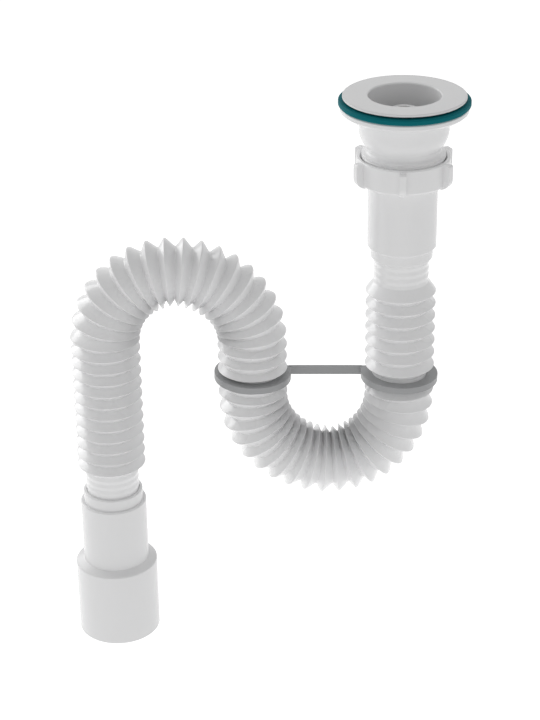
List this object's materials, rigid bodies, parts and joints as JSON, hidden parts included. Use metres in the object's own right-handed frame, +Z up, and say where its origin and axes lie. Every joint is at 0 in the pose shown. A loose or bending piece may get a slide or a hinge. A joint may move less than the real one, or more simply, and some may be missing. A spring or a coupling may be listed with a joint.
{
  "type": "corrugated trap",
  "caption": "Basin waste with a union nut and a flexible corrugated pipe bent into an S-shaped water trap, ending in a stepped outlet.",
  "frame": {"origin": "centre of the waste's drain bore, level with the top of the flange gasket where the basin sits", "axes": "+Z up along the drain bore; the bends lie in the XZ plane and the outlet is towards -X; the clip's open side faces +Y"},
  "size_m": [0.2364, 0.0746, 0.3458],
  "materials": {
    "white_moulding": "gloss",
    "white_blown": "satin gloss",
    "grey_moulding": "satin",
    "seal_rubber": "matte",
    "washer_rubber": "matte",
    "screw_steel": "plain",
    "insert_brass": "plain"
  },
  "bodies": {
    "waste": {"upper_flange": "white_moulding", "flange_gasket": "seal_rubber", "fixing_screw": "screw_steel", "screw_insert": "insert_brass", "waste_body": "white_moulding"},
    "seal": {"cone_washer": "washer_rubber"},
    "nut": {"union_nut": "white_moulding"},
    "trap": {"inlet_cuff": "white_moulding", "corrugated_pipe": "white_blown", "spacer_clip": "grey_moulding", "outlet_cuff": "white_moulding"}
  },
  "joints": [
    {"name": "nut_travel", "type": "slide", "parent": "waste", "child": "seal", "axis": [0, 0, 1], "range_m": [-0.0104, 0]},
    {"name": "nut_turn", "type": "hinge", "parent": "seal", "child": "nut", "pos_m": [0, 0, -0.0403], "axis": [0, 0, 1], "range_deg": [-1620, 0]},
    {"name": "swivel", "type": "hinge", "parent": "waste", "child": "trap", "pos_m": [0, 0, -0.06], "axis": [0, 0, 1], "continuous": true}
  ],
  "couplings": [
    {"joint": "nut_travel", "follows": "nut_turn", "m_per_rad": 0.00036749}
  ]
}
